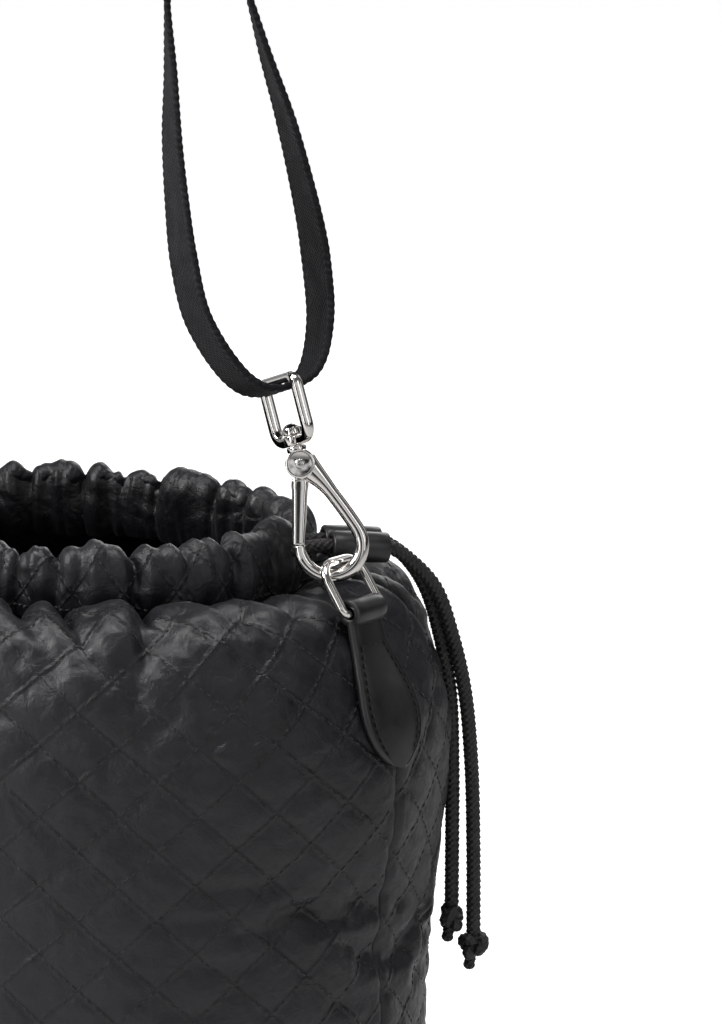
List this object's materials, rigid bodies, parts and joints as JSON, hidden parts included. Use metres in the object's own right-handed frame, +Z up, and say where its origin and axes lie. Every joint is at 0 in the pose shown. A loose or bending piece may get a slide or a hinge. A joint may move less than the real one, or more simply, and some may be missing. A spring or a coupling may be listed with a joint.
{
  "type": "drawstring bucket bag",
  "caption": "Quilted oval bucket bag with a gathered drawstring mouth, leather cord lock, leather tabs with D-rings, swivel snap hooks and an adjustable webbing strap.",
  "frame": {"origin": "centre of the base's underside, on the surface the bag stands on", "axes": "+Z up, +X toward the side seam with the cord lock, -Y toward the front"},
  "size_m": [0.2736, 0.2054, 0.6714],
  "materials": {
    "quilted_cloth": "black satin nylon, quilted in diamonds",
    "lining_satin": "smooth black satin",
    "braided_cord": "black braided polyester",
    "webbing": "black ribbed webbing with a chain-woven edge",
    "leather": "smooth black leather, edge painted and stitched",
    "stiffener_board": "plain base board",
    "polished_nickel": "polished nickel plate",
    "rivet_steel": "steel rivet and spring"
  },
  "bodies": {
    "bag": {"base_panel": "quilted_cloth", "base_board": "stiffener_board", "shell_front": "quilted_cloth", "shell_back": "quilted_cloth", "lining": "lining_satin", "casing_front": "quilted_cloth", "casing_back": "quilted_cloth", "drawcord_loop": "braided_cord", "cord_tail_front": "braided_cord", "cord_tail_back": "braided_cord", "cord_knot_front": "braided_cord", "cord_knot_back": "braided_cord", "tab_right": "leather", "tab_left": "leather"},
    "cord_lock": {"cord_lock": "leather"},
    "ring_right": {"ring_right": "polished_nickel"},
    "ring_left": {"ring_left": "polished_nickel"},
    "strap": {"strap_webbing": "webbing", "strap_return": "webbing", "swivel_eye_right": "polished_nickel", "swivel_eye_left": "polished_nickel"},
    "hook_right": {"hook_body_right": "polished_nickel", "gate_rivet_right": "rivet_steel", "gate_spring_right": "rivet_steel", "swivel_stud_right": "polished_nickel"},
    "hook_left": {"hook_body_left": "polished_nickel", "gate_rivet_left": "rivet_steel", "gate_spring_left": "rivet_steel", "swivel_stud_left": "polished_nickel"},
    "gate_right": {"hook_gate_right": "polished_nickel"},
    "gate_left": {"hook_gate_left": "polished_nickel"},
    "slider": {"slider_frame": "polished_nickel", "slider_bar": "polished_nickel"}
  },
  "joints": [
    {"name": "lock_slide", "type": "slide", "parent": "bag", "child": "cord_lock", "axis": [0.6101, 0.7872, -0.09], "range_m": [-0.0035, 0.001]},
    {"name": "ring_right_swing", "type": "hinge", "parent": "bag", "child": "ring_right", "pos_m": [0.121, 0, 0.2664], "axis": [0, 1, 0], "range_deg": [0, 7]},
    {"name": "ring_left_swing", "type": "hinge", "parent": "bag", "child": "ring_left", "pos_m": [-0.121, 0, 0.2664], "axis": [0, -1, 0], "range_deg": [0, 7]},
    {"name": "strap_swing", "type": "hinge", "parent": "bag", "child": "strap", "pos_m": [0, 0, 0.27653], "axis": [1, 0, 0], "range_deg": [-20, 60]},
    {"name": "hook_right_swivel", "type": "hinge", "parent": "strap", "child": "hook_right", "pos_m": [0.0987, -0.0027, 0.3109], "axis": [-0.309, 0, 0.9511], "range_deg": [-40, 0]},
    {"name": "hook_left_swivel", "type": "hinge", "parent": "strap", "child": "hook_left", "pos_m": [-0.0987, -0.0027, 0.3109], "axis": [0.309, 0, 0.9511], "range_deg": [0, 40]},
    {"name": "gate_right_open", "type": "hinge", "parent": "hook_right", "child": "gate_right", "pos_m": [0.0987, -0.0027, 0.3109], "axis": [0.559, -0.809, 0.1816], "range_deg": [0, 22], "stiffness_Nm_per_rad": 0.02, "springref_deg": -20.05},
    {"name": "gate_left_open", "type": "hinge", "parent": "hook_left", "child": "gate_left", "pos_m": [-0.0987, -0.0027, 0.3109], "axis": [0.559, 0.809, -0.1816], "range_deg": [0, 22], "stiffness_Nm_per_rad": 0.02, "springref_deg": -20.05},
    {"name": "slider_slide", "type": "slide", "parent": "strap", "child": "slider", "axis": [-0.2102, 0, 0.9777], "range_m": [-0.015, 0.015], "deforming": ["strap_return"]}
  ]
}
